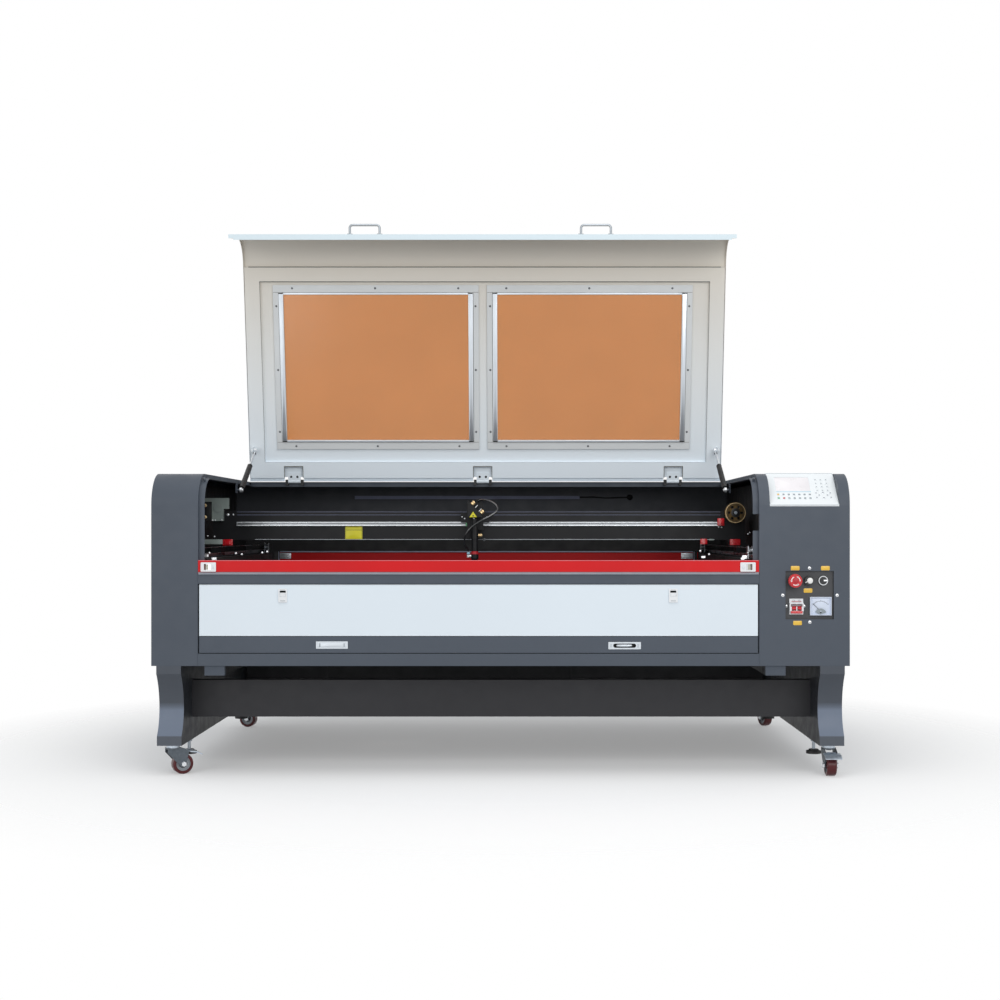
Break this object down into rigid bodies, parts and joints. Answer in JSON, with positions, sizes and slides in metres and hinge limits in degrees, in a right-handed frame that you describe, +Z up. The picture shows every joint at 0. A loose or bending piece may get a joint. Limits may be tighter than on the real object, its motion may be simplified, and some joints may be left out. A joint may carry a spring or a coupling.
{
  "type": "carbon dioxide laser engraving machine",
  "caption": "Gantry laser engraving machine on casters with a hinged windowed lid, feed flap, front door, waste drawer and side control panel.",
  "frame": {"origin": "on the floor under the centre of the overall box", "axes": "+X to the operator's right along the gantry beam, +Y to the back, +Z up"},
  "size_m": [2.096, 1.467, 1.7672],
  "materials": {
    "body_paint": "satin textured powder coat",
    "black_paint": "matt powder coat",
    "dark_paint": "satin powder coat",
    "red_paint": "satin powder coat",
    "white_paint": "satin powder coat",
    "steel": "ground",
    "zinc": "bright zinc plate",
    "chromed": "polished",
    "aluminium": "satin anodised",
    "black_anodised": "black anodised",
    "brass": "machined",
    "amber_acrylic": "tinted sheet",
    "tube_glass": "clear",
    "black_rubber": "matt",
    "polyurethane": "satin",
    "black_plastic": "matt",
    "white_plastic": "satin",
    "red_plastic": "gloss"
  },
  "bodies": {
    "machine": {"left_housing": "body_paint", "right_housing": "body_paint", "front_frame": "body_paint", "base_pan": "body_paint", "rear_housing": "body_paint", "work_chamber": "black_paint", "side_stands": "body_paint", "stretchers": "dark_paint", "caster_plates": "zinc", "levelling_feet": "black_rubber", "slat_table": "aluminium", "rear_cross_bar": "red_paint", "y_guides": "steel", "laser_tube": "tube_glass", "light_bar": "aluminium", "control_plate": "dark_paint", "keypad_panel": "white_plastic", "breaker_body": "white_plastic", "meter_housing": "white_plastic", "electronics": "black_plastic", "service_fittings": "steel", "lid_hinge_pins": "steel"},
    "lid": {"lid_shell": "white_paint", "lid_windows": "amber_acrylic", "window_trims": "aluminium", "lid_handles": "chromed"},
    "gantry": {"gantry_beam": "black_anodised", "beam_rail": "steel", "second_mirror": "aluminium"},
    "carriage": {"carriage": "black_anodised", "air_hose": "black_rubber"},
    "strut_cylinder_left": {"strut_cylinder_left": "dark_paint"},
    "strut_cylinder_right": {"strut_cylinder_right": "dark_paint"},
    "strut_rod_left": {"strut_rod_left": "chromed"},
    "strut_rod_right": {"strut_rod_right": "chromed"},
    "feed_flap": {"feed_flap": "red_paint"},
    "flap_latch_left": {"flap_latch_left": "chromed"},
    "flap_latch_right": {"flap_latch_right": "chromed"},
    "front_door": {"front_door": "white_paint"},
    "door_latch_left": {"door_latch_left": "white_plastic"},
    "door_latch_right": {"door_latch_right": "white_plastic"},
    "waste_drawer": {"waste_drawer": "body_paint"},
    "x_pulley": {"x_pulley": "brass"},
    "lens_tube": {"lens_tube": "black_anodised"},
    "caster_fork_fl": {"caster_fork_fl": "zinc"},
    "caster_fork_fr": {"caster_fork_fr": "zinc"},
    "caster_fork_rl": {"caster_fork_rl": "zinc"},
    "caster_fork_rr": {"caster_fork_rr": "zinc"},
    "caster_wheel_fl": {"caster_wheel_fl": "polyurethane"},
    "caster_wheel_fr": {"caster_wheel_fr": "polyurethane"},
    "caster_wheel_rl": {"caster_wheel_rl": "polyurethane"},
    "caster_wheel_rr": {"caster_wheel_rr": "polyurethane"},
    "caster_brake_fl": {"caster_brake_fl": "zinc"},
    "caster_brake_fr": {"caster_brake_fr": "zinc"},
    "estop_button": {"estop_button": "red_plastic"},
    "current_knob": {"current_knob": "black_plastic"},
    "key_barrel": {"key_barrel": "black_plastic"},
    "breaker_toggle": {"breaker_toggle": "red_plastic"},
    "meter_needle": {"meter_needle": "black_plastic"},
    "side_door": {"side_door": "body_paint"}
  },
  "joints": [
    {"name": "lid_hinge", "type": "hinge", "parent": "machine", "child": "lid", "pos_m": [0, 0.1575, 0.916], "axis": [1, 0, 0], "range_deg": [0, 79.5]},
    {"name": "strut_pivot_left", "type": "hinge", "parent": "machine", "child": "strut_cylinder_left", "pos_m": [-0.878, -0.1765, 0.876], "axis": [1, 0, 0], "range_deg": [-28, 0.5]},
    {"name": "strut_stroke_left", "type": "slide", "parent": "strut_cylinder_left", "child": "strut_rod_left", "axis": [0, 0.8821, 0.4711], "range_m": [-0.0955, 0.001]},
    {"name": "strut_pivot_right", "type": "hinge", "parent": "machine", "child": "strut_cylinder_right", "pos_m": [0.746, -0.1765, 0.876], "axis": [1, 0, 0], "range_deg": [-28, 0.5]},
    {"name": "strut_stroke_right", "type": "slide", "parent": "strut_cylinder_right", "child": "strut_rod_right", "axis": [0, 0.8821, 0.4711], "range_m": [-0.0955, 0.001]},
    {"name": "flap_hinge", "type": "hinge", "parent": "machine", "child": "feed_flap", "pos_m": [0, -0.7085, 0.6105], "axis": [1, 0, 0], "range_deg": [0, 170]},
    {"name": "flap_latch_left_slide", "type": "slide", "parent": "feed_flap", "child": "flap_latch_left", "axis": [-1, 0, 0], "range_m": [0, 0.0055]},
    {"name": "flap_latch_right_slide", "type": "slide", "parent": "feed_flap", "child": "flap_latch_right", "axis": [1, 0, 0], "range_m": [0, 0.0055]},
    {"name": "door_hinge", "type": "hinge", "parent": "machine", "child": "front_door", "pos_m": [0, -0.7005, 0.4285], "axis": [1, 0, 0], "range_deg": [0, 90]},
    {"name": "door_latch_left_slide", "type": "slide", "parent": "front_door", "child": "door_latch_left", "axis": [0, 0, 1], "range_m": [0, 0.0055]},
    {"name": "door_latch_right_slide", "type": "slide", "parent": "front_door", "child": "door_latch_right", "axis": [0, 0, 1], "range_m": [0, 0.0055]},
    {"name": "drawer_slide", "type": "slide", "parent": "machine", "child": "waste_drawer", "axis": [0, -1, 0], "range_m": [0, 0.45]},
    {"name": "gantry_slide", "type": "slide", "parent": "machine", "child": "gantry", "axis": [0, 1, 0], "range_m": [-0.35, 0.64]},
    {"name": "carriage_slide", "type": "slide", "parent": "gantry", "child": "carriage", "axis": [1, 0, 0], "range_m": [-0.755, 0.755]},
    {"name": "x_pulley_turn", "type": "hinge", "parent": "gantry", "child": "x_pulley", "pos_m": [0.77, -0.2365, 0.799], "axis": [0, 1, 0], "continuous": true},
    {"name": "lens_focus", "type": "slide", "parent": "carriage", "child": "lens_tube", "axis": [0, 0, 1], "range_m": [-0.012, 0]},
    {"name": "swivel_fl", "type": "hinge", "parent": "machine", "child": "caster_fork_fl", "pos_m": [-0.996, -0.6465, 0.08], "axis": [0, 0, 1], "continuous": true},
    {"name": "roll_fl", "type": "hinge", "parent": "caster_fork_fl", "child": "caster_wheel_fl", "pos_m": [-0.97128, -0.63336, 0.03125], "axis": [-0.4695, 0.8829, 0], "continuous": true},
    {"name": "brake_fl", "type": "hinge", "parent": "caster_fork_fl", "child": "caster_brake_fl", "pos_m": [-0.96245, -0.62866, 0.0675], "axis": [-0.4695, 0.8829, 0], "range_deg": [0, 12]},
    {"name": "swivel_fr", "type": "hinge", "parent": "machine", "child": "caster_fork_fr", "pos_m": [0.996, -0.6465, 0.08], "axis": [0, 0, 1], "continuous": true},
    {"name": "roll_fr", "type": "hinge", "parent": "caster_fork_fr", "child": "caster_wheel_fr", "pos_m": [0.996, -0.6745, 0.03125], "axis": [1, 0, 0], "continuous": true},
    {"name": "brake_fr", "type": "hinge", "parent": "caster_fork_fr", "child": "caster_brake_fr", "pos_m": [0.996, -0.6845, 0.0675], "axis": [1, 0, 0], "range_deg": [0, 12]},
    {"name": "swivel_rl", "type": "hinge", "parent": "machine", "child": "caster_fork_rl", "pos_m": [-0.996, 0.4635, 0.08], "axis": [0, 0, 1], "continuous": true},
    {"name": "roll_rl", "type": "hinge", "parent": "caster_fork_rl", "child": "caster_wheel_rl", "pos_m": [-0.96861, 0.45768, 0.03125], "axis": [0.2079, 0.9781, 0], "continuous": true},
    {"name": "swivel_rr", "type": "hinge", "parent": "machine", "child": "caster_fork_rr", "pos_m": [0.996, 0.4635, 0.08], "axis": [0, 0, 1], "continuous": true},
    {"name": "roll_rr", "type": "hinge", "parent": "caster_fork_rr", "child": "caster_wheel_rr", "pos_m": [0.98551, 0.48946, 0.03125], "axis": [-0.9272, -0.3746, 0], "continuous": true},
    {"name": "estop_press", "type": "slide", "parent": "machine", "child": "estop_button", "axis": [0, 1, 0], "range_m": [0, 0.005]},
    {"name": "current_turn", "type": "hinge", "parent": "machine", "child": "current_knob", "pos_m": [0.925, -0.7065, 0.59], "axis": [0, 1, 0], "range_deg": [-140, 140]},
    {"name": "key_turn", "type": "hinge", "parent": "machine", "child": "key_barrel", "pos_m": [0.969, -0.7065, 0.59], "axis": [0, 1, 0], "range_deg": [0, 90]},
    {"name": "breaker_throw", "type": "hinge", "parent": "machine", "child": "breaker_toggle", "pos_m": [0.888, -0.6965, 0.508], "axis": [-1, 0, 0], "range_deg": [0, 30]},
    {"name": "needle_swing", "type": "hinge", "parent": "machine", "child": "meter_needle", "pos_m": [0.961, -0.7065, 0.498], "axis": [0, 1, 0], "range_deg": [0, 90]},
    {"name": "side_door_hinge", "type": "hinge", "parent": "machine", "child": "side_door", "pos_m": [1.041, 0.1345, 0.6], "axis": [0, 0, 1], "range_deg": [0, 100]}
  ],
  "couplings": [
    {"joint": "strut_pivot_left", "follows": "lid_hinge", "ratio": -0.34691},
    {"joint": "strut_stroke_left", "follows": "lid_hinge", "m_per_rad": -0.067973},
    {"joint": "strut_pivot_right", "follows": "lid_hinge", "ratio": -0.34691},
    {"joint": "strut_stroke_right", "follows": "lid_hinge", "m_per_rad": -0.067973},
    {"joint": "x_pulley_turn", "follows": "carriage_slide", "rad_per_m": 32.258}
  ]
}
